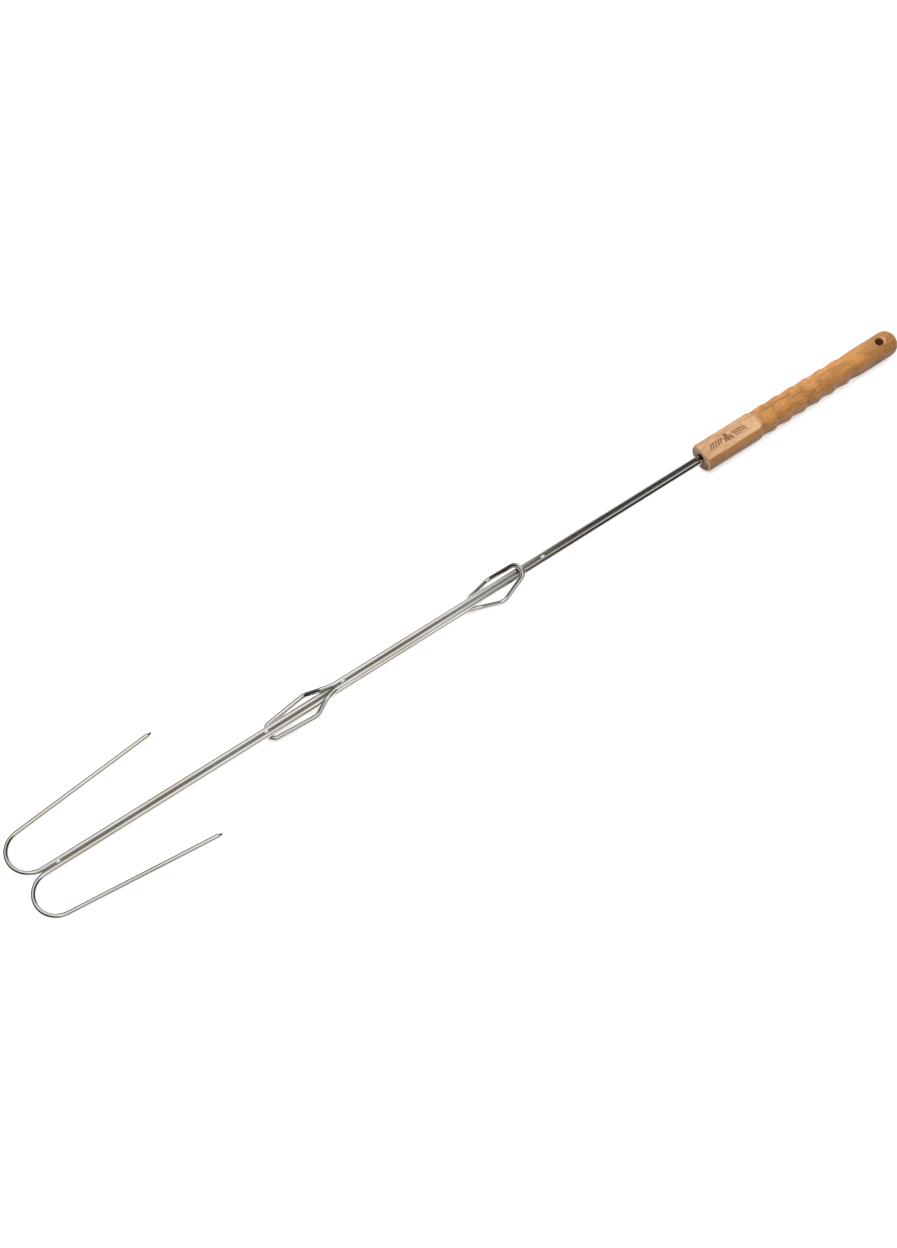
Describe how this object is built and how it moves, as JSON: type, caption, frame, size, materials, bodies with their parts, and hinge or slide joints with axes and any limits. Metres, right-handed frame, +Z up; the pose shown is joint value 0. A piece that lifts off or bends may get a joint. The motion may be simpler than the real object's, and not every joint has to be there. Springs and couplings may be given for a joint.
{
  "type": "telescoping roasting fork",
  "caption": "Long two-tined wire roasting fork whose wire pair slides along a second pair set in a turned wooden handle with finger grooves, a milled flat and a hang hole.",
  "frame": {"origin": "middle of the hang hole, on the handle's axis", "axes": "+X along the handle towards the tines, +Z up out of the milled flat, +Y to the side"},
  "size_m": [0.9785, 0.121, 0.0284],
  "materials": {
    "handle_wood": "oiled beech, satin, with a raw sanded flat",
    "steel_wire": "polished stainless steel wire",
    "weld_metal": "bright resistance weld",
    "glue": "cured wood glue, satin"
  },
  "bodies": {
    "handle_body": {"handle": "handle_wood", "socket_glue": "glue", "handle_wire": "steel_wire", "handle_weld_rear": "weld_metal", "handle_weld_mid": "weld_metal", "handle_weld_front": "weld_metal"},
    "fork_body": {"fork_wire": "steel_wire", "fork_weld_rear": "weld_metal", "fork_weld_mid": "weld_metal", "fork_weld_front": "weld_metal"}
  },
  "joints": [
    {"name": "fork_slide", "type": "slide", "parent": "handle_body", "child": "fork_body", "axis": [1, 0, 0], "range_m": [-0.205, 0.125]}
  ]
}
